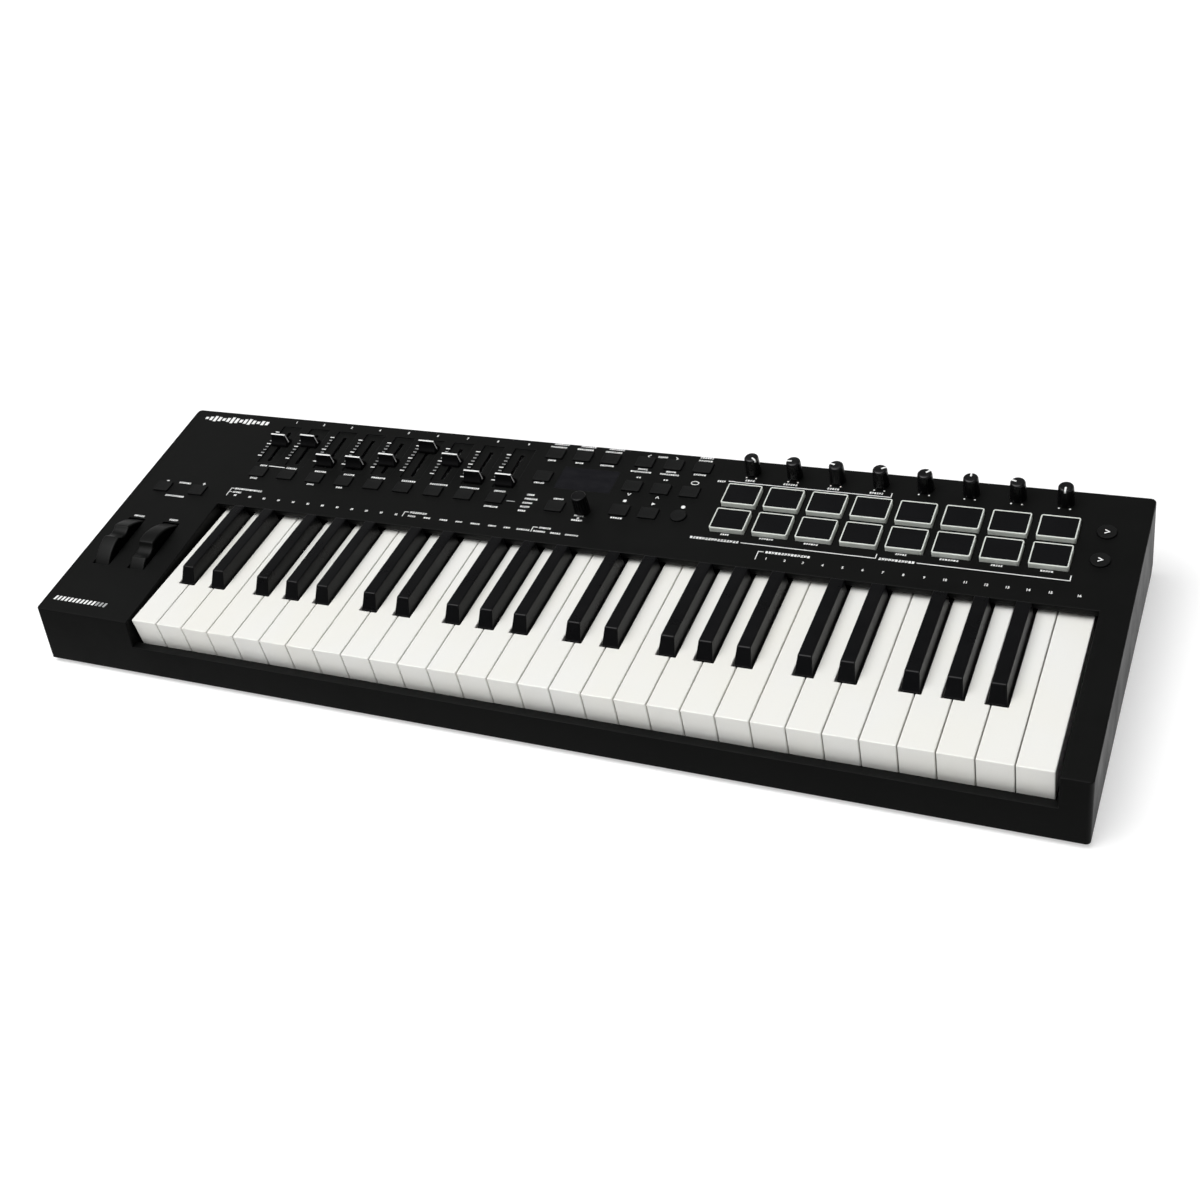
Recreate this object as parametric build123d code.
from build123d import *
import math
import os

# 49-key USB MIDI controller keyboard, in millimetres.
# +X runs towards the treble end, +Y towards the rear, +Z up.  The origin is in the
# middle of the case's width and depth, on the surface the rubber feet stand on.
#
# Controls and keys are laid out in "key" coordinates: x from the left edge of the
# lowest white key, y from the white keys' front face, z from the case bottom.
# key_x(), key_y() and key_z() convert them to the frame.  Heights on the sloping
# panel are measured square to its surface, negative below it.

os.makedirs("parts", exist_ok=True)

# ---- case ------------------------------------------------------------------
CASE_W = 795.0            # width
CASE_D = 253.0            # depth at the bottom
FOOT_H = 4.0              # the feet raise the case by this much
H_FRONT = 43.7            # height at the front top edge
H_REAR = 59.7             # height at the rear top edge
FRONT_RAKE = 9.5          # the front face leans back by this much over its height
REAR_CUT = 9.5            # chamfer along the lower rear edge
WALL = 2.5
RAIL_TOP = 22.1           # top of the rail in front of the keys
RAIL_REAR_Y = -115.1      # frame y of that rail's rear edge
LIP_Y = 130.9             # front edge of the panel above the keys
PLATE_T = 2.5             # bottom plate
BOSS_BOTTOM = 7.6         # lower end of the top case's screw bosses
OPENING_GAP = 0.3         # clearance round each button

# ---- keys ------------------------------------------------------------------
PITCH = 23.5              # white key pitch
N_WHITE = 29              # white keys, C to C
KEY_X0 = -306.1           # frame x of the lowest key's left edge
KEY_Y0 = -113.2           # frame y of the white keys' front face
KEY_TOP = 43.7            # white key top
BLACK_TOP = 54.2          # black key top
WHITE_W = 22.7
BLACK_BASE_W = 12.0       # black key width at the white key tops
BLACK_TOP_W = 8.6
NOTCH_W = 14.6            # gap in the white keys that a black key stands in
BLACK_Y = 46.7            # black key front at its base
BLACK_Y_TOP = 54.0        # black key front at its top
BLACK_HEAD_Z = KEY_TOP - 0.6   # where the black key's tapered head begins
KEY_SKIN = 1.9            # side wall of a hollow key
KEY_POCKET_END = 138.5    # rear end of the hollow below a key
HINGE_Y, HINGE_Z = 172.0, 30.0
KNUCKLE_R = 3.0
KEY_GAP = (PITCH - WHITE_W) / 2
NOTCH_Y = BLACK_Y - 1.3   # front of the notches in the white keys

WHITE_NAMES = ["c", "d", "e", "f", "g", "a", "b"]
# the black key to the right of a white one: its centre's offset from the pitch line
BLACK_OFFSET = {"c": -2.35, "d": 2.35, "f": -3.36, "g": 0.0, "a": 3.36}

# ---- controls --------------------------------------------------------------
FADER_X = [14.1 + 27.54 * i for i in range(9)]
FADER_Y = 204.3           # middle of the fader slots
WELL_W, WELL_L, WELL_DEEP, WELL_Y = 18.4, 46.5, 1.0, 205.7
SLOT_W, SLOT_L = 3.2, 36.8
CAP_W, CAP_L, CAP_H = 15.8, 8.8, 9.4
CAP_TAPER = 1.2           # each end face of a cap leans in by this much
FADER_CAP_Y = [208.5, 210.9, 190.1, 191.3, 198.2, 218.0, 205.7, 189.3, 189.3]

BTN_W, BTN_L, BTN_UP = 14.2, 11.0, 1.4
SCENE_R = 6.4
RECORD_R = 6.0

KNOB_X = [423.7 + 31.85 * i for i in range(8)]
KNOB_Y = 227.3
KNOB_R, KNOB_R_TOP, KNOB_H = 5.8, 5.2, 15.0
KNOB_GAP = 0.5            # space between a knob and the surface below it
ENC_X, ENC_Y = 309.0, 167.6
ENC_R, ENC_H = 6.0, 15.5
SHAFT_R, SHAFT_BORE_R, SHAFT_HOLE_R = 3.0, 3.06, 3.6

PAD_X = KNOB_X
PAD_Y = (173.2, 199.7)
PAD_W, PAD_L, PAD_UP = 26.0, 21.2, 3.5
SKIRT_DOWN = 3.6          # buttons and pads reach this far below the surface

WHEEL_X = (-65.3, -30.6)
WHEEL_Y = 76.5
WHEEL_R, WHEEL_UP, WHEEL_W = 38.0, 9.3, 14.2
WHEEL_SLOT_W, WHEEL_SLOT_L = 16.4, 54.0

LENS_X, LENS_Y, LENS_W, LENS_L = 298.5, 201.5, 46.0, 24.0

# button centres (key x, key y)
OCTAVE_BTNS = [(-64.9, 142.2), (-29.7, 142.2)]
FADER_BTNS = [(x - 0.2, 171.2) for x in FADER_X]
MENU_BTNS = [(262.1, 226.4), (285.7, 226.4), (308.9, 226.4), (262.2, 200.1), (285.4, 169.3)]
TRANSPORT_BTNS = [(337.4, 226.4), (360.9, 226.4), (384.3, 226.4),
                  (337.1, 199.2), (360.2, 199.2), (383.2, 199.2),
                  (337.0, 172.7), (360.0, 172.7)]
RECORD_BTN = (383.4, 173.6)
SCENE_BTNS = [(677.4, 202.1), (677.4, 175.4)]

# circuit boards below the panel
BOARD_BOTTOM, BOARD_TOP = -13.9, -12.3
PUSH_SWITCH_TOP = -6.9

# case screws and feet (frame x, frame y)
PAD_BOARD_SCREW = (357, 108)
SCREWS = [(-386, -104), (-321, -104), (-389, 20), (-386, 108), (-168, 108), (-58, 108),
          (99.5, 108), PAD_BOARD_SCREW, (387.5, 108), (387.5, -104), (387.5, 20)]
FEET = [(-350, -106), (-350, 98), (-20, -106), (-20, 98), (330, -106), (330, 98)]
FOOT_R = 9.0

# rear connectors (frame x) and the height of their centres above the case bottom
USB_X, POWER_X, SWITCH_X, MIDI_X = -345.0, -318.0, -290.0, -258.0
JACK_X = (-228.0, -204.0, -180.0)
LOCK_X = -372.0
CONNECTOR_Z = 28.0
CONNECTOR_BOARD_TOP = 18.8
ROCKER_DEEP = 4.7         # rocker pivot in from the rear face

# ---- derived places --------------------------------------------------------
KEY_X1 = KEY_X0 + PITCH * N_WHITE
FRONT_BOTTOM_Y = -CASE_D / 2
FRONT_TOP_Y = FRONT_BOTTOM_Y + FRONT_RAKE
REAR_Y = CASE_D / 2
REAR_INNER_Y = REAR_Y - WALL
CASE_Z = FOOT_H
CASE_LEFT, CASE_RIGHT = -CASE_W / 2, CASE_W / 2
PANEL_ANGLE = math.atan2(H_REAR - H_FRONT, REAR_Y - FRONT_TOP_Y)
PANEL_COS, PANEL_SIN = math.cos(PANEL_ANGLE), math.sin(PANEL_ANGLE)
PANEL = Plane(origin=(0, FRONT_TOP_Y, CASE_Z + H_FRONT), x_dir=(1, 0, 0),
              z_dir=(0, -PANEL_SIN, PANEL_COS))


def key_x(x):
    return x + KEY_X0


def key_y(y):
    return y + KEY_Y0


def key_z(z):
    return z + CASE_Z


def front_y(z):
    """y of the front face at frame height z"""
    return FRONT_BOTTOM_Y + (z - CASE_Z) * FRONT_RAKE / H_FRONT


def panel_z(y):
    """height of the panel surface at frame y"""
    return CASE_Z + H_FRONT + (y - FRONT_TOP_Y) * math.tan(PANEL_ANGLE)


def under_panel_z(y):
    """height of the panel's underside at frame y"""
    return panel_z(y) - WALL / PANEL_COS


OPEN_LEFT, OPEN_RIGHT = key_x(-2.4), KEY_X1 + 2.6   # key opening
LIP = key_y(LIP_Y)
RAIL_Z = key_z(RAIL_TOP)
PLATE_REAR_Y = REAR_Y - REAR_CUT - WALL - 1.0
CONNECTOR_MID_Z = key_z(CONNECTOR_Z)


# ---- shape helpers ---------------------------------------------------------
def block(x0, x1, y0, y1, z0, z1):
    return Pos((x0 + x1) / 2, (y0 + y1) / 2, (z0 + z1) / 2) * Box(x1 - x0, y1 - y0, z1 - z0)


def key_block(x0, x1, y0, y1, z0, z1):
    """block with x in the frame, y and z in key coordinates"""
    return block(x0, x1, key_y(y0), key_y(y1), key_z(z0), key_z(z1))


def polygon(points):
    return make_face(Polyline(*points, close=True))


def slab_x(outline, x0, x1):
    """closed (y, z) outline extruded along X from x0 to x1"""
    return extrude(polygon([(x0, y, z) for y, z in outline]), amount=x1 - x0, dir=(1, 0, 0))


def key_slab(outline, x0, x1):
    """slab_x for an outline in key coordinates"""
    return slab_x([(key_y(y), key_z(z)) for y, z in outline], x0, x1)


def post(x, y, z0, z1, radius):
    """upright cylinder from z0 to z1"""
    return Pos(x, y, (z0 + z1) / 2) * Cylinder(radius, z1 - z0)


def cylinder_x(radius, length):
    return Rot(0, 90, 0) * Cylinder(radius, length)


def on_panel(x, y, height=0.0):
    """location at key x, y, turned with the panel, at a height above its surface"""
    return PANEL.location * Pos(key_x(x), (key_y(y) - FRONT_TOP_Y) / PANEL_COS, height)


def panel_box(x, y, low, high, width, length):
    return on_panel(x, y, (low + high) / 2) * Box(width, length, high - low)


def panel_cylinder(x, y, low, high, radius):
    return on_panel(x, y, (low + high) / 2) * Cylinder(radius, high - low)


def rear_box(x, width, y0, y1, height):
    """box at connector height; y0 and y1 are measured from the rear face"""
    return block(x - width / 2, x + width / 2, REAR_Y + y0, REAR_Y + y1,
                 CONNECTOR_MID_Z - height / 2, CONNECTOR_MID_Z + height / 2)


def rear_cylinder(x, y0, y1, radius, z=CONNECTOR_MID_Z):
    """cylinder along Y; y0 and y1 are measured from the rear face"""
    return Pos(x, REAR_Y + (y0 + y1) / 2, z) * Rot(90, 0, 0) * Cylinder(radius, y1 - y0)


def as_solid(shape):
    found = list(shape.solids())
    return found[0] if len(found) == 1 else Compound(children=found)


def save(name, *shapes):
    """write one node; several separate solids go in as one compound"""
    found = []
    for shape in shapes:
        found += list(shape.solids())
    node = found[0] if len(found) == 1 else Compound(children=found)
    node.label = name
    export_step(node, "parts/%s.step" % name)


# ---- 1. top case: panel, cheeks, front rail and rear wall --------------------
def outer_block():
    """solid outline of the case with its outside edges rounded"""
    outline = [(FRONT_BOTTOM_Y, CASE_Z), (FRONT_TOP_Y, CASE_Z + H_FRONT),
               (REAR_Y, CASE_Z + H_REAR), (REAR_Y, CASE_Z + REAR_CUT),
               (REAR_Y - REAR_CUT, CASE_Z)]
    body = slab_x(outline, CASE_LEFT, CASE_RIGHT)
    rear_corners = [e for e in body.edges().filter_by(Axis.Z) if e.length > 20]
    body = fillet(rear_corners, 4.0)
    front_corners = [e for e in body.edges()
                     if abs(abs(e.center().X) - CASE_W / 2) < 0.01
                     and abs(e.center().Y - (FRONT_BOTTOM_Y + FRONT_TOP_Y) / 2) < 0.5]
    body = fillet(front_corners, 3.0)
    top_edges = [e for e in body.edges()
                 if abs(e.center().Z - panel_z(e.center().Y)) < 1.6
                 and e.center().Z > CASE_Z + 40]
    return fillet(top_edges, 1.0)


def round_key_opening(body):
    """soften the edges of the rail, cheeks and panel lip round the key opening"""
    mouth = []
    for e in body.edges():
        c = e.center()
        along_rail = (abs(c.Z - RAIL_Z) < 0.05 and abs(c.Y - front_y(RAIL_Z)) < 0.05
                      and e.length > 400)
        along_lip = (abs(c.Y - LIP) < 0.05 and abs(c.Z - panel_z(LIP)) < 0.05
                     and e.length > 400)
        on_cheek = (min(abs(c.X - OPEN_LEFT), abs(c.X - OPEN_RIGHT)) < 0.05
                    and c.Z > RAIL_Z + 5 and c.Y < LIP - 20 and e.length > 10
                    and (abs(c.Z - panel_z(c.Y)) < 0.6 or abs(c.Y - front_y(c.Z)) < 0.6))
        if along_rail or along_lip or on_cheek:
            mouth.append(e)
    # the fillet may fail where the edges meet; the edges then stay sharp
    try:
        return as_solid(fillet(mouth, 0.7))
    except Exception:
        return body


def cheek_cavity(x0, x1):
    """hollow in a cheek, open at the bottom, its front following the raked face"""
    below = CASE_Z - 1
    front_top = under_panel_z(FRONT_TOP_Y + 4)
    rear = LIP + 1
    return slab_x([(front_y(below) + WALL + 0.2, below),
                   (front_y(front_top) + WALL + 0.2, front_top - 0.3),
                   (rear, under_panel_z(rear)), (rear, below)], x0, x1)


def cavities():
    below = CASE_Z - 1
    rear = slab_x([(LIP, below), (LIP, under_panel_z(LIP)),
                   (REAR_INNER_Y, under_panel_z(REAR_INNER_Y)),
                   (REAR_INNER_Y, CASE_Z + REAR_CUT + 1.0),
                   (REAR_INNER_Y - REAR_CUT - 1.5, below)],
                  CASE_LEFT + WALL, CASE_RIGHT - WALL)
    rail_under = key_z(RAIL_TOP - WALL)
    keys = slab_x([(FRONT_BOTTOM_Y + WALL + 0.1, below),
                   (front_y(rail_under) + WALL + 0.1, rail_under),
                   (RAIL_REAR_Y, rail_under), (RAIL_REAR_Y, RAIL_Z + 1),
                   (LIP + 0.5, RAIL_Z + 1), (LIP + 0.5, below)], OPEN_LEFT, OPEN_RIGHT)
    return [rear, cheek_cavity(CASE_LEFT + WALL, OPEN_LEFT - WALL),
            cheek_cavity(OPEN_RIGHT + WALL, CASE_RIGHT - WALL), keys]


def panel_openings():
    low, high = -6, 4          # right through the panel
    cuts = []
    for x in WHEEL_X:
        cuts.append(panel_box(x, WHEEL_Y, low, high, WHEEL_SLOT_W, WHEEL_SLOT_L))
        # the slot's ends flare below the surface to follow the rim
        cuts.append(on_panel(x, WHEEL_Y, -(WHEEL_R - WHEEL_UP))
                    * cylinder_x(WHEEL_R + 1.2, WHEEL_SLOT_W))
    for x, y in OCTAVE_BTNS + FADER_BTNS + MENU_BTNS + TRANSPORT_BTNS:
        cuts.append(panel_box(x, y, low, high, BTN_W + 2 * OPENING_GAP,
                              BTN_L + 2 * OPENING_GAP))
    for x, y in SCENE_BTNS:
        cuts.append(panel_cylinder(x, y, low, high, SCENE_R + OPENING_GAP))
    cuts.append(panel_cylinder(*RECORD_BTN, low, high, RECORD_R + OPENING_GAP))
    for x in FADER_X:
        cuts.append(panel_box(x, WELL_Y, -WELL_DEEP, high, WELL_W, WELL_L))
        cuts.append(panel_box(x, FADER_Y, low, 1, SLOT_W, SLOT_L))
    for x in KNOB_X:
        cuts.append(panel_cylinder(x, KNOB_Y, low, high, SHAFT_HOLE_R))
    cuts.append(panel_cylinder(ENC_X, ENC_Y, low, high, SHAFT_HOLE_R))
    for x in PAD_X:
        for y in PAD_Y:
            cuts.append(panel_box(x, y, low, high, PAD_W + 0.8, PAD_L + 0.8))
    # display window with a rebate that the lens sits in
    cuts.append(panel_box(LENS_X, LENS_Y, -1.6, high, LENS_W + 0.2, LENS_L + 0.2))
    cuts.append(panel_box(LENS_X, LENS_Y, low, 1, LENS_W - 4, LENS_L - 4))
    return cuts


def rear_openings():
    cuts = [rear_box(USB_X, 12.6, -8, 5, 11.6), rear_cylinder(POWER_X, -8, 6, 5.2),
            rear_box(SWITCH_X, 15.0, -8, 5, 10.4), rear_cylinder(MIDI_X, -8, 6, 8.2)]
    cuts += [rear_cylinder(x, -8, 6, 5.0) for x in JACK_X]
    cuts.append(rear_box(LOCK_X, 7.0, -8, 5, 3.0))   # security lock slot
    return cuts


def top_case():
    open_box = block(OPEN_LEFT, OPEN_RIGHT, FRONT_BOTTOM_Y - 5, LIP, RAIL_Z, 80)
    body = round_key_opening(as_solid(outer_block().cut(open_box)))
    body = body.cut(*(cavities() + panel_openings() + rear_openings()))

    boss_z = key_z(BOSS_BOTTOM)
    added = [post(x, y, boss_z, under_panel_z(y - 4.5) + 1.0, 4.0) for x, y in SCREWS]
    # strengthening ribs under the panel: (y, left end, right end)
    for y, x0, x1 in ((-70.0, CASE_LEFT + 1.5, OPEN_LEFT - 1.5),
                      (4.0, CASE_LEFT + 1.5, key_x(-12)),
                      (-70.0, OPEN_RIGHT + 1.5, CASE_RIGHT - 1.5)):
        top, bottom = under_panel_z(y) + 1, under_panel_z(y) - 6
        added.append(slab_x([(y - 0.8, bottom), (y - 0.8, top),
                             (y + 0.8, top), (y + 0.8, bottom)], x0, x1))
    body = body.fuse(*added)
    return body.cut(*[post(x, y, boss_z - 1, boss_z + 19, 1.55) for x, y in SCREWS])


save("top_case", top_case())


# ---- 2. bottom case: plate that closes the shell from below ------------------
def bottom_case():
    front = front_y(CASE_Z) + WALL + 1.1
    plate = block(CASE_LEFT + WALL + 0.3, CASE_RIGHT - WALL - 0.3, front, PLATE_REAR_Y,
                  CASE_Z, CASE_Z + PLATE_T)
    # notches for the cheeks' inner walls, which come down beside the keys
    plate = plate.cut(*[block(x0, x1, front - 1, LIP + 1.0, CASE_Z - 1, CASE_Z + 5)
                        for x0, x1 in ((OPEN_LEFT - WALL - 0.3, OPEN_LEFT + 0.3),
                                       (OPEN_RIGHT - 0.3, OPEN_RIGHT + WALL + 0.3))])
    # screw bosses, then stiffening ribs
    added = [post(x, y, CASE_Z + 0.05, CASE_Z + 6.05, 4.4) for x, y in SCREWS]
    rib_bottom, rib_top = CASE_Z + 1.0, CASE_Z + 7.0
    for x in (-250, -150, -50, 50, 150, 250, 350):
        added.append(block(x - 0.8, x + 0.8, key_y(186.5), PLATE_REAR_Y - 2,
                           rib_bottom, rib_top))
    added.append(block(-306, 372, key_y(190.0), key_y(191.6), rib_bottom, rib_top))
    plate = plate.fuse(*added)

    cuts = []
    for x, y in SCREWS:        # shank hole and counterbore
        cuts.append(post(x, y, CASE_Z - 3, CASE_Z + 9, 1.7))
        cuts.append(post(x, y, CASE_Z - 3, CASE_Z + 3, 3.4))
    for x, y in FEET:          # shallow seats for the feet
        cuts.append(post(x, y, CASE_Z - 0.6, CASE_Z + 0.6, FOOT_R + 0.1))
    for i in range(9):         # ventilation slots under the electronics
        x = -40 + i * 12
        cuts.append(block(x - 1.5, x + 1.5, 84, 92, CASE_Z - 1, CASE_Z + 4))
    return plate.cut(*cuts)


save("bottom_case", bottom_case())


# ---- 3. feet and screws ------------------------------------------------------
def case_screw(x, y):
    """pan head in the plate's counterbore, cross recess, shank up into the boss"""
    head = post(x, y, CASE_Z + 0.7, CASE_Z + 2.7, 2.9)
    shank = post(x, y, CASE_Z + 2.4, CASE_Z + 14.2, 1.5)
    recess = Pos(x, y, CASE_Z + 0.9)
    return head.fuse(shank).cut(recess * Box(0.9, 3.4, 1.4), recess * Box(3.4, 0.9, 1.4))


save("rubber_feet", *[post(x, y, 0, FOOT_H + 0.5, FOOT_R) for x, y in FEET])
save("case_screws", *[case_screw(x, y) for x, y in SCREWS])

# ---- 4. keybed frame, felts and contact board --------------------------------
BED_LEFT, BED_RIGHT = KEY_X0 - 1.6, KEY_X1 + 1.8
BED_BOTTOM, BED_TOP = 2.7, 4.6
POST_IN, POST_OUT = 5, 9       # end posts' faces, out from the row of keys
STOP_BOTTOM, STOP_TOP = 37.6, 38.8

# hinge saddle (key y, key z)
SADDLE = [(163, BED_BOTTOM), (163, 24.4), (167, 25.0), (172, 26.3), (175.8, 26.3),
          (175.8, 34.5), (184, 34.5), (184, BED_BOTTOM)]


def keybed_frame():
    saddle = key_slab(SADDLE, BED_LEFT, BED_RIGHT)
    groove = (Pos((BED_LEFT + BED_RIGHT) / 2, key_y(HINGE_Y), key_z(HINGE_Z))
              * cylinder_x(KNUCKLE_R + 0.45, BED_RIGHT - BED_LEFT + 4))
    saddle = saddle.cut(groove)
    base = key_block(BED_LEFT, BED_RIGHT, 4, 184, BED_BOTTOM, BED_TOP)
    # front rail, then the two contact board rails: (y0, y1, top)
    rails = [key_block(BED_LEFT, BED_RIGHT, y0, y1, BED_BOTTOM, top)
             for y0, y1, top in ((8, 20, 6.5), (87, 90, 15.0), (128, 131, 15.0))]
    frame = base.fuse(*rails, saddle)

    # end posts, their feet, and the cross rail that stops the keys at the top
    left_out, right_out = KEY_X0 - POST_OUT, KEY_X1 + POST_OUT
    frame = frame.fuse(
        key_block(left_out, KEY_X0 - POST_IN, 137, 184, BED_BOTTOM, STOP_TOP),
        key_block(KEY_X1 + POST_IN, right_out, 137, 184, BED_BOTTOM, STOP_TOP),
        key_block(left_out, BED_LEFT + 2, 140, 184, BED_BOTTOM, BED_TOP),
        key_block(BED_RIGHT - 2, right_out, 140, 184, BED_BOTTOM, BED_TOP),
        key_block(left_out, right_out, 145.5, 151, STOP_BOTTOM, STOP_TOP))

    # two rows of windows in the base
    windows = []
    for i in range(9):
        x = key_x(12 + i * 76)
        for y0, y1 in ((28, 80), (96, 122)):
            windows.append(key_block(x, x + 60, y0, y1, BED_BOTTOM - 2, 5))
    return frame.cut(*windows)


save("keybed_frame", keybed_frame())

# felts: under the front of the keys, and below the stop rail
save("key_felts",
     key_block(BED_LEFT, BED_RIGHT, 8.5, 19.5, 6.55, 8.9),
     key_block(KEY_X0 - 4, KEY_X1 + 4, 145.8, 150.7, 36.35, 37.55))
save("key_contact_board", key_block(BED_LEFT, BED_RIGHT, 86, 132, 15.05, 16.65))

# ---- 5. keys -----------------------------------------------------------------
# side outlines (key y, key z); both kinds of key share the rear end
KEY_REAR = [(HINGE_Y, 27.0), (HINGE_Y, 33.0), (164, 36.0), (142.5, 36.0)]
WHITE_SIDE = [(0.0, KEY_TOP), (0.0, 18.4), (19, 18.4), (27, 26), *KEY_REAR,
              (141.5, KEY_TOP)]
BLACK_SIDE = [(BLACK_Y, BLACK_HEAD_Z), (BLACK_Y, 28), (60, 26), *KEY_REAR,
              (141.5, BLACK_HEAD_Z)]


def tail_edges(i):
    """left and right edges of white key i behind its notches, from its pitch line"""
    name = WHITE_NAMES[i % 7]
    previous = WHITE_NAMES[i % 7 - 1]
    left, right = 0.0, PITCH
    if previous in BLACK_OFFSET:
        left = BLACK_OFFSET[previous] + NOTCH_W / 2
    if name in BLACK_OFFSET and i < N_WHITE - 1:
        right = PITCH + BLACK_OFFSET[name] - NOTCH_W / 2
    return max(KEY_GAP, left), min(PITCH - KEY_GAP, right)


def knuckle(x, width):
    """hinge knuckle, a little narrower than its key"""
    return Pos(x, key_y(HINGE_Y), key_z(HINGE_Z)) * cylinder_x(KNUCKLE_R, width - 0.6)


def white_key(tail_left, tail_right):
    """white key in the lowest key's place"""
    left, right = KEY_GAP, PITCH - KEY_GAP
    outline = [(left, -0.5), (right, -0.5), (right, NOTCH_Y)]
    if tail_right < right:
        outline.append((tail_right, NOTCH_Y))
    outline += [(tail_right, HINGE_Y + 1), (tail_left, HINGE_Y + 1)]
    if tail_left > left:
        outline.append((tail_left, NOTCH_Y))
    outline.append((left, NOTCH_Y))
    plan = extrude(polygon([(key_x(x), key_y(y), key_z(10)) for x, y in outline]),
                   amount=40, dir=(0, 0, 1))
    body = as_solid(key_slab(WHITE_SIDE, KEY_X0 - 2, KEY_X0 + PITCH + 2) & plan)
    top_edges = [e for e in body.edges()
                 if abs(e.center().Z - key_z(KEY_TOP)) < 0.01 and e.center().Y < key_y(140)]
    # the fillet may fail at the notch corners; the edges then stay sharp
    try:
        body = fillet(top_edges, 0.5)
    except Exception:
        pass
    # hollow underneath, wide in front and narrow in the tail
    pocket_top = KEY_TOP - 2.6
    front_pocket = key_block(key_x(left + KEY_SKIN), key_x(right - KEY_SKIN),
                             3.2, NOTCH_Y - 2.4, 8, pocket_top)
    tail_pocket = key_block(key_x(tail_left + KEY_SKIN), key_x(tail_right - KEY_SKIN),
                            NOTCH_Y - 3.0, KEY_POCKET_END, 8, pocket_top)
    hinge = knuckle(key_x((tail_left + tail_right) / 2), tail_right - tail_left)
    return as_solid(body.cut(front_pocket, tail_pocket).fuse(hinge))


def black_key():
    """black key centred on x = 0"""
    half_base, half_top = BLACK_BASE_W / 2, BLACK_TOP_W / 2
    top, head_bottom = key_z(BLACK_TOP), key_z(BLACK_HEAD_Z)
    section = polygon([(-half_base, 0, head_bottom), (half_base, 0, head_bottom),
                       (half_top, 0, top), (-half_top, 0, top)])
    wedge = Pos(0, key_y(40), 0) * extrude(section, amount=110, dir=(0, 1, 0))
    side = key_slab([(BLACK_Y, BLACK_HEAD_Z), (BLACK_Y_TOP, BLACK_TOP),
                     (LIP_Y - 1.4, BLACK_TOP), (LIP_Y - 1.0, BLACK_HEAD_Z)], -10, 10)
    head = as_solid(wedge & side)
    upper_edges = [e for e in head.edges() if e.center().Z > head_bottom + 1.0]
    # the fillet may fail on the tapered corners; the edges then stay sharp
    try:
        head = fillet(upper_edges, 0.7)
    except Exception:
        pass
    body = key_slab(BLACK_SIDE, -half_base, half_base)
    body = body.fuse(head).fuse(knuckle(0, BLACK_BASE_W))
    pocket = key_block(-half_base + KEY_SKIN, half_base - KEY_SKIN,
                       BLACK_Y + 3, KEY_POCKET_END, 20, 41.0)
    return as_solid(as_solid(body).cut(pocket))


white_shapes = {name: white_key(*tail_edges(i)) for i, name in enumerate(WHITE_NAMES)}
high_c = white_key(*tail_edges(N_WHITE - 1))
black_shape = black_key()

# one file for each note name; the tails' centres place the springs and domes
key_groups = {}
tail_centres = []
for i in range(N_WHITE):
    name = WHITE_NAMES[i % 7]
    is_last = i == N_WHITE - 1
    shape = high_c if is_last else white_shapes[name]
    key_groups.setdefault("keys_" + name, []).append(Pos(i * PITCH, 0, 0) * shape)
    tail_centres.append(KEY_X0 + i * PITCH + sum(tail_edges(i)) / 2)
    if name in BLACK_OFFSET and not is_last:
        x = KEY_X0 + (i + 1) * PITCH + BLACK_OFFSET[name]
        key_groups.setdefault("keys_%s_sharp" % name, []).append(Pos(x, 0, 0) * black_shape)
        tail_centres.append(x)
for name, shapes in key_groups.items():
    save(name, *shapes)

# leaf spring side outline (key y, key z)
SPRING_SIDE = [(162.9, 20.0), (162.9, 23.6), (155.0, 24.6), (147.0, 24.2),
               (147.0, 23.8), (155.0, 24.2), (162.5, 23.25), (162.5, 20.0)]
SPRING_W = 5.0
DOME_Y, DOME_BOTTOM = 108, 16.7
DOME_R, DOME_R_TOP, DOME_H = 4.2, 3.0, 5.0

save("key_return_springs", *[key_slab(SPRING_SIDE, x - SPRING_W / 2, x + SPRING_W / 2)
                             for x in tail_centres])
save("key_contact_domes", *[Pos(x, key_y(DOME_Y), key_z(DOME_BOTTOM) + DOME_H / 2)
                            * Cone(DOME_R, DOME_R_TOP, DOME_H) for x in tail_centres])


# ---- 6. circuit boards parallel to the panel, and their components -----------
def board(x, y, width, length):
    return panel_box(x, y, BOARD_BOTTOM, BOARD_TOP, width, length)


def push_switches(centres):
    return [panel_box(x, y, BOARD_TOP, PUSH_SWITCH_TOP, 6.0, 6.0) for x, y in centres]


def boss_clearance(x, y):
    return post(x, y, 25, 65, 5.2)


control = board(198.0, 193.5, 404, 79)
control = control.fuse(*push_switches(FADER_BTNS + MENU_BTNS + TRANSPORT_BTNS + [RECORD_BTN]))
control = control.cut(*[boss_clearance(x, y) for x, y in SCREWS if -200 < x < 100])
octave = board((OCTAVE_BTNS[0][0] + OCTAVE_BTNS[1][0]) / 2, OCTAVE_BTNS[0][1], 54, 22)
octave = octave.fuse(*push_switches(OCTAVE_BTNS))
save("control_board", control, octave)

sensors = [panel_box(x, y, BOARD_TOP, -6.8, 20, 16) for x in PAD_X for y in PAD_Y]
pad_board = board(550.0, 191.5, 276, 83).fuse(*(sensors + push_switches(SCENE_BTNS)))
save("pad_board", pad_board.cut(boss_clearance(*PAD_BOARD_SCREW)))


def slide_potentiometer(x):
    """channel body on the board, with the wiper slot on top"""
    body = panel_box(x, FADER_Y, BOARD_TOP + 0.02, -4.3, 9.0, 45.0)
    return body.cut(panel_box(x, FADER_Y, -10.8, -3, 2.6, SLOT_L))


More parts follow.
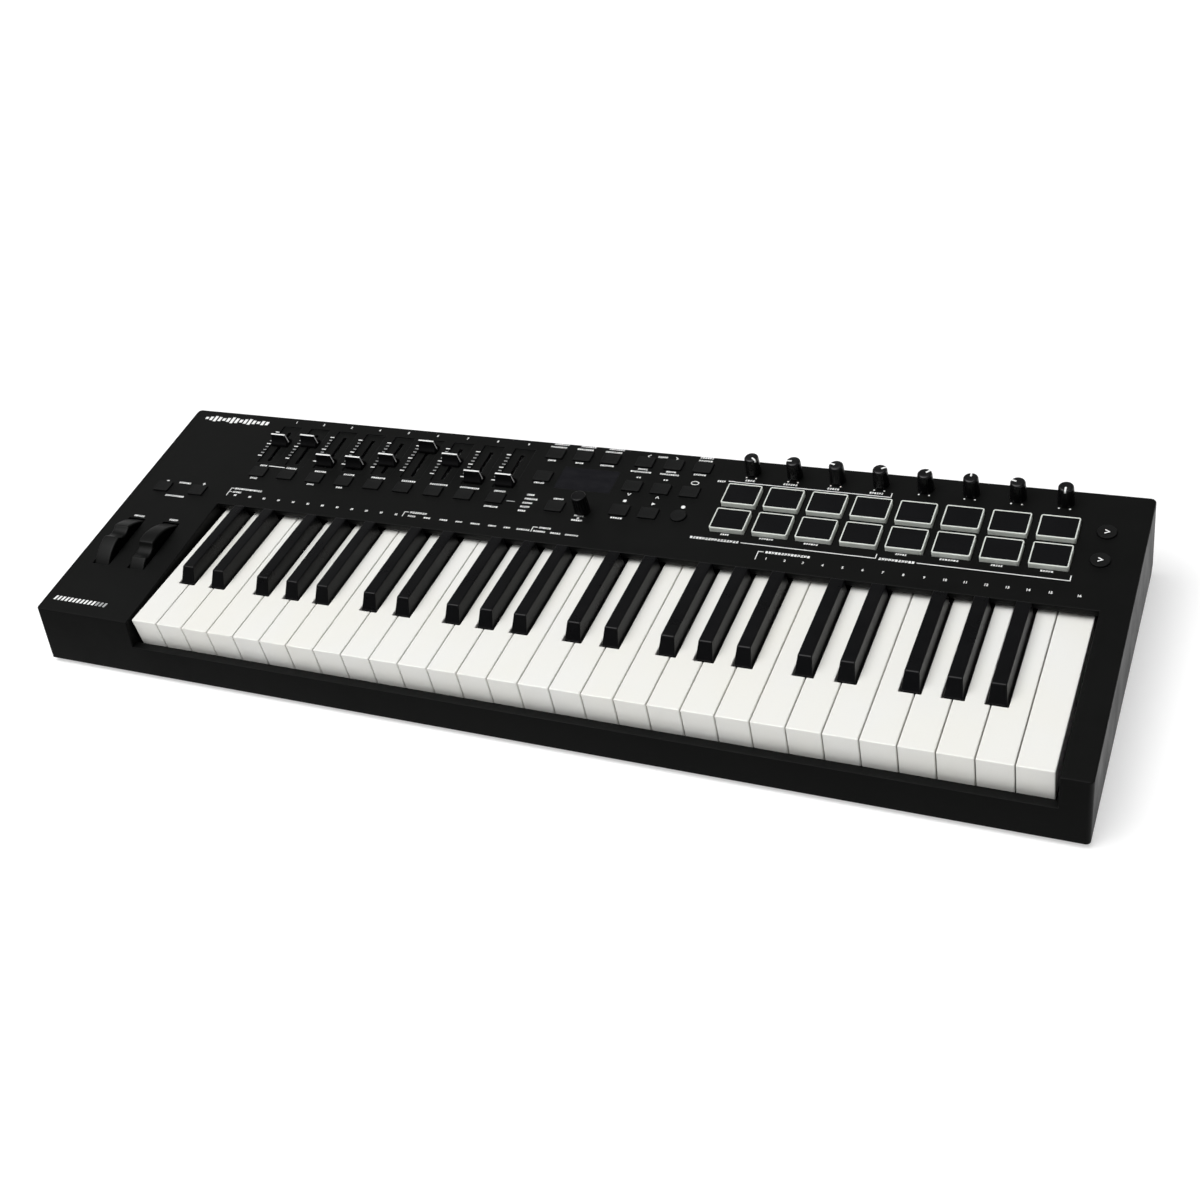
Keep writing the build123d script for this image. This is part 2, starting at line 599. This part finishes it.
def rotary_potentiometer(x, y, width, length, bore_bottom):
    body = panel_box(x, y, BOARD_TOP + 0.02, -6.0, width, length)
    body = body.fuse(panel_cylinder(x, y, -6.2, -3.2, 4.6))
    return body.cut(panel_cylinder(x, y, bore_bottom, 0, SHAFT_BORE_R))


save("slide_potentiometers", *[slide_potentiometer(x) for x in FADER_X])
save("rotary_potentiometers",
     *[rotary_potentiometer(x, KNOB_Y, 9.8, 10.6, -10.6) for x in KNOB_X],
     rotary_potentiometer(ENC_X, ENC_Y, 11.0, 11.0, -11.9))


# ---- 7. fader caps -----------------------------------------------------------
def fader_cap(x, y):
    half_w, half_l = CAP_W / 2, CAP_L / 2
    half_ridge = 1.1
    bottom = -WELL_DEEP + 0.4
    top = bottom + CAP_H
    # side outline, along the slot and up: concave faces below a narrow ridge
    rear_side = [(half_ridge, top), (half_ridge + 0.6, bottom + 7.6),
                 (half_l - 1.5, bottom + 4.2), (half_l, bottom + 1.6), (half_l, bottom)]
    front_side = [(-along, up) for along, up in reversed(rear_side)]
    cap = slab_x(front_side + rear_side, -half_w, half_w)
    # end faces lean in from the base to the ridge
    ends = polygon([(-half_w, -10, bottom), (half_w, -10, bottom),
                    (half_w - CAP_TAPER, -10, top), (-half_w + CAP_TAPER, -10, top)])
    cap = as_solid(as_solid(cap) & extrude(ends, amount=20, dir=(0, 1, 0)))
    # wiper lever through the slot
    cap = cap.fuse(block(-0.7, 0.7, -2.0, 2.0, -9.6, bottom + 0.5))
    return on_panel(x, y) * as_solid(cap)


for i, (x, y) in enumerate(zip(FADER_X, FADER_CAP_Y)):
    save("fader_cap_%d" % (i + 1), fader_cap(x, y))


# ---- 8. knobs and encoder ----------------------------------------------------
def knob_body(radius, top_radius, height):
    """tapered knob, rounded on top, with a ring-shaped hollow in its underside"""
    cone_h = height - KNOB_GAP
    body = as_solid(Pos(0, 0, KNOB_GAP + cone_h / 2) * Cone(radius, top_radius, cone_h))
    body = fillet(body.edges().sort_by(Axis.Z)[-1], 1.6)
    ring = Cylinder(radius - 1.2, 2.1) - Cylinder(SHAFT_R + 0.01, 2.2)
    return body.cut(Pos(0, 0, KNOB_GAP + 1.0) * ring)


knob = as_solid(knob_body(KNOB_R, KNOB_R_TOP, KNOB_H).fuse(
    post(0, 0, -10.2, KNOB_GAP + 2.5, SHAFT_R)))
for i, x in enumerate(KNOB_X):
    save("knob_%d" % (i + 1), on_panel(x, KNOB_Y) * knob)

# the encoder knob is bored for a separate shaft and raised for its push travel
encoder_knob = as_solid(knob_body(ENC_R, ENC_R - 0.5, ENC_H).cut(
    post(0, 0, KNOB_GAP - 1.0, KNOB_GAP + 11.0, SHAFT_BORE_R)))
save("encoder_knob", on_panel(ENC_X, ENC_Y, 0.6) * encoder_knob)
save("encoder_shaft", panel_cylinder(ENC_X, ENC_Y, -11.0, 11.4, SHAFT_R))


# ---- 9. buttons --------------------------------------------------------------
def button(x, y, radius=None):
    """square or round cap, retaining flange below the panel and stem to its switch"""
    cap_h = BTN_UP + SKIRT_DOWN
    cap_place = Pos(0, 0, (BTN_UP - SKIRT_DOWN) / 2)
    flange_place = Pos(0, 0, -4.15)
    flange_h = 1.1
    if radius is None:
        cap = as_solid(Box(BTN_W, BTN_L, cap_h))
        cap = cap_place * fillet(cap.edges().filter_by(Axis.Z), 0.8)
        flange = flange_place * Box(BTN_W + 2.4, BTN_L + 1.0, flange_h)
    else:
        cap = cap_place * Cylinder(radius, cap_h)
        flange = flange_place * Cylinder(radius + 1.0, flange_h)
    stem = Pos(0, 0, -5.1) * Box(3.0, 3.0, 1.4)
    return on_panel(x, y) * as_solid(cap.fuse(flange, stem))


save("octave_buttons", *[button(x, y) for x, y in OCTAVE_BTNS])
save("fader_buttons", *[button(x, y) for x, y in FADER_BTNS])
save("menu_buttons", *[button(x, y) for x, y in MENU_BTNS])
save("transport_buttons", *[button(x, y) for x, y in TRANSPORT_BTNS],
     button(*RECORD_BTN, RECORD_R))
save("scene_buttons", *[button(x, y, SCENE_R) for x, y in SCENE_BTNS])


# ---- 10. pads ----------------------------------------------------------------
def pad(x, y):
    """rounded pad with a retaining flange and a foot below"""
    height = PAD_UP + SKIRT_DOWN
    body = as_solid(Box(PAD_W, PAD_L, height))
    body = fillet(body.edges().filter_by(Axis.Z), 1.6)
    body = fillet([e for e in body.edges() if e.center().Z > height / 2 - 0.01], 0.5)
    body = Pos(0, 0, (PAD_UP - SKIRT_DOWN) / 2) * body
    flange = Pos(0, 0, -4.3) * Box(PAD_W + 2.6, PAD_L + 2.4, 1.4)
    foot = Pos(0, 0, -5.3) * Box(12, 10, 1.2)
    return on_panel(x, y) * as_solid(body.fuse(flange, foot))


save("pads_lower_row", *[pad(x, PAD_Y[0]) for x in PAD_X])
save("pads_upper_row", *[pad(x, PAD_Y[1]) for x in PAD_X])

# ---- 11. pitch bend and modulation wheels, with their bracket ----------------
wheel_centre = on_panel(WHEEL_X[0], WHEEL_Y, -(WHEEL_R - WHEEL_UP)).position
AXLE_Y, AXLE_Z = wheel_centre.Y, wheel_centre.Z
AXLE_R = 3.0
SECTOR_HALF_ANGLE = 72.0
SECTOR_STEPS = 48


def wheel(x, turn):
    """sector wheel on a hub, turned towards the rear by turn degrees"""
    outline = [(0.0, 0.0)]
    for k in range(SECTOR_STEPS + 1):
        a = math.radians(turn - SECTOR_HALF_ANGLE + 2 * SECTOR_HALF_ANGLE * k / SECTOR_STEPS)
        outline.append((WHEEL_R * math.sin(a), WHEEL_R * math.cos(a)))
    body = as_solid(slab_x(outline, -WHEEL_W / 2, WHEEL_W / 2))
    body = as_solid(body.fuse(cylinder_x(9.0, WHEEL_W)))
    # finger hollow in the rim
    a = math.radians(turn)
    hollow_r = WHEEL_R + 5.5
    body = body.cut(Pos(0, hollow_r * math.sin(a), hollow_r * math.cos(a))
                    * cylinder_x(9.0, WHEEL_W + 2))
    # lightening pockets in both faces leave a web and a rim
    for side in (-1, 1):
        ring = cylinder_x(WHEEL_R - 9.5, 4.6) - cylinder_x(10.5, 5.0)
        body = body.cut(Pos(side * (WHEEL_W / 2 - 2.2), 0, 0) * ring)
    body = body.cut(cylinder_x(AXLE_R + 0.05, WHEEL_W + 2))
    return Pos(key_x(x), AXLE_Y, AXLE_Z) * as_solid(body)


def wheel_bracket():
    """floor plate, three uprights and the axle through them"""
    left_wheel, right_wheel = key_x(WHEEL_X[0]), key_x(WHEEL_X[1])
    left, right = left_wheel - 11.0, right_wheel + 11.0
    bottom = CASE_Z + PLATE_T + 0.05
    half_t = 1.2
    uprights = [block(x - half_t, x + half_t, AXLE_Y - 12, AXLE_Y + 12, bottom, AXLE_Z + 9)
                for x in (left, (left_wheel + right_wheel) / 2, right)]
    base = block(left - half_t, right + half_t, AXLE_Y - 46, AXLE_Y + 46,
                 bottom, bottom + 1.6)
    axle = Pos((left + right) / 2, AXLE_Y, AXLE_Z) * cylinder_x(AXLE_R, right - left + 1.0)
    return base.fuse(*uprights).fuse(axle)


def centring_spring():
    """close-wound coil round the axle beside the pitch wheel, as a plain ring"""
    ring = cylinder_x(5.4, 1.6) - cylinder_x(3.3, 3.0)
    return Pos(key_x(WHEEL_X[0]) - WHEEL_W / 2 - 1.6, AXLE_Y, AXLE_Z) * ring


save("pitch_wheel", wheel(WHEEL_X[0], 0.0))
save("modulation_wheel", wheel(WHEEL_X[1], -22.0))
save("wheel_bracket", wheel_bracket(), centring_spring())

# ---- 12. display -------------------------------------------------------------
save("display_lens", panel_box(LENS_X, LENS_Y, -1.55, -0.05, LENS_W, LENS_L))
display = panel_box(LENS_X, LENS_Y, -6.6, -2.62, 44.0, 22.0)
save("display_module",
     display.fuse(panel_box(LENS_X, LENS_Y, BOARD_TOP + 0.03, -6.6, 36.0, 16.0)))

# ---- 13. rear connectors -----------------------------------------------------
save("connector_board", block(-352, -173, 100.5, REAR_INNER_Y - 0.4,
                              key_z(17.2), key_z(CONNECTOR_BOARD_TOP)))


def socket_body(x, width, depth, top):
    """body on the connector board; depth from the rear wall, top above centre height"""
    return block(x - width / 2, x + width / 2, REAR_INNER_Y - depth, REAR_INNER_Y - 0.4,
                 key_z(CONNECTOR_BOARD_TOP + 0.05), CONNECTOR_MID_Z + top)


def usb_socket():
    body = socket_body(USB_X, 12.0, 16, 5.4)
    body = body.fuse(rear_box(USB_X, 12.0, -WALL - 1, -0.4, 10.8))
    body = body.cut(rear_box(USB_X, 8.6, -9, 1, 8.0))
    return body.fuse(rear_box(USB_X, 5.6, -9.5, -1.2, 3.2))


def power_inlet():
    body = socket_body(POWER_X, 9.6, 14, 5.5)
    body = body.fuse(rear_cylinder(POWER_X, -4.1, -0.3, 4.9))
    body = body.cut(rear_cylinder(POWER_X, -9.5, 0.5, 2.9))
    return body.fuse(rear_cylinder(POWER_X, -10.1, -1.1, 1.0))


def midi_socket():
    body = socket_body(MIDI_X, 19.0, 13, 9.0)
    body = body.fuse(rear_cylinder(MIDI_X, -4.3, -0.5, 7.9))
    body = body.cut(rear_cylinder(MIDI_X, -6.5, 0.5, 6.7))
    pin_circle_r = 4.6
    for degrees in (180, 225, 270, 315, 360):
        a = math.radians(degrees)
        body = body.cut(rear_cylinder(MIDI_X + pin_circle_r * math.cos(a), -12, -4, 0.7,
                                      CONNECTOR_MID_Z + pin_circle_r * math.sin(a)))
    return body


def pedal_jack(x):
    body = socket_body(x, 16.0, 20, 7.0)
    body = body.fuse(rear_cylinder(x, -3.5, -0.3, 4.7))
    return body.cut(rear_cylinder(x, -22, 2, 3.2))


def switch_body():
    body = socket_body(SWITCH_X, 14.6, 14, 5.0)
    body = body.fuse(rear_box(SWITCH_X, 14.6, -WALL - 1, -0.6, 10.0))
    body = body.cut(rear_box(SWITCH_X, 11.2, -9.0, 2, 7.8))
    # bearing holes for the rocker's pivot pin
    return body.cut(post(SWITCH_X, REAR_Y - ROCKER_DEEP,
                         CONNECTOR_MID_Z - 4.8, CONNECTOR_MID_Z + 5.3, 1.35))


save("rear_sockets", usb_socket(), power_inlet(), midi_socket(),
     *[pedal_jack(x) for x in JACK_X], switch_body())

# rocker outline about its pivot (x, y), +y facing out of the rear
ROCKER = [(-4.7, 3.6), (0.0, 2.7), (4.7, 3.6), (4.7, 0.6),
          (1.8, -2.0), (-1.8, -2.0), (-4.7, 0.6)]
ROCKER_H = 7.0
ROCKER_TILT = 7


def power_switch():
    """rocker on a pivot pin along Z"""
    face = polygon([(x, y, -ROCKER_H / 2) for x, y in ROCKER])
    rocker = as_solid(extrude(face, amount=ROCKER_H, dir=(0, 0, 1)))
    rocker = rocker.fuse(Cylinder(1.2, 9.2))
    return (Pos(SWITCH_X, REAR_Y - ROCKER_DEEP, CONNECTOR_MID_Z)
            * Rot(0, 0, ROCKER_TILT) * as_solid(rocker))


save("power_switch", power_switch())

# ---- 14. ribbon cables between the boards ------------------------------------
CABLE_T = 0.8
cable_top = panel_z(key_y(192)) - 16.0
cable_y = key_y(186.0)
# two rise behind the keybed, from the contact board towards the control board
cables = [block(key_x(x), key_x(x + 30), cable_y, cable_y + CABLE_T, key_z(10), cable_top)
          for x in (120, 300)]
# a flat bridge just below the control and pad boards
cables.append(on_panel(402.0, 205.0, -15.0) * Box(40, 20, CABLE_T))
# one rises from the connector board
cables.append(block(-290, -270, 94.0, 94.0 + CABLE_T, key_z(20), key_z(38)))
save("ribbon_cables", *cables)
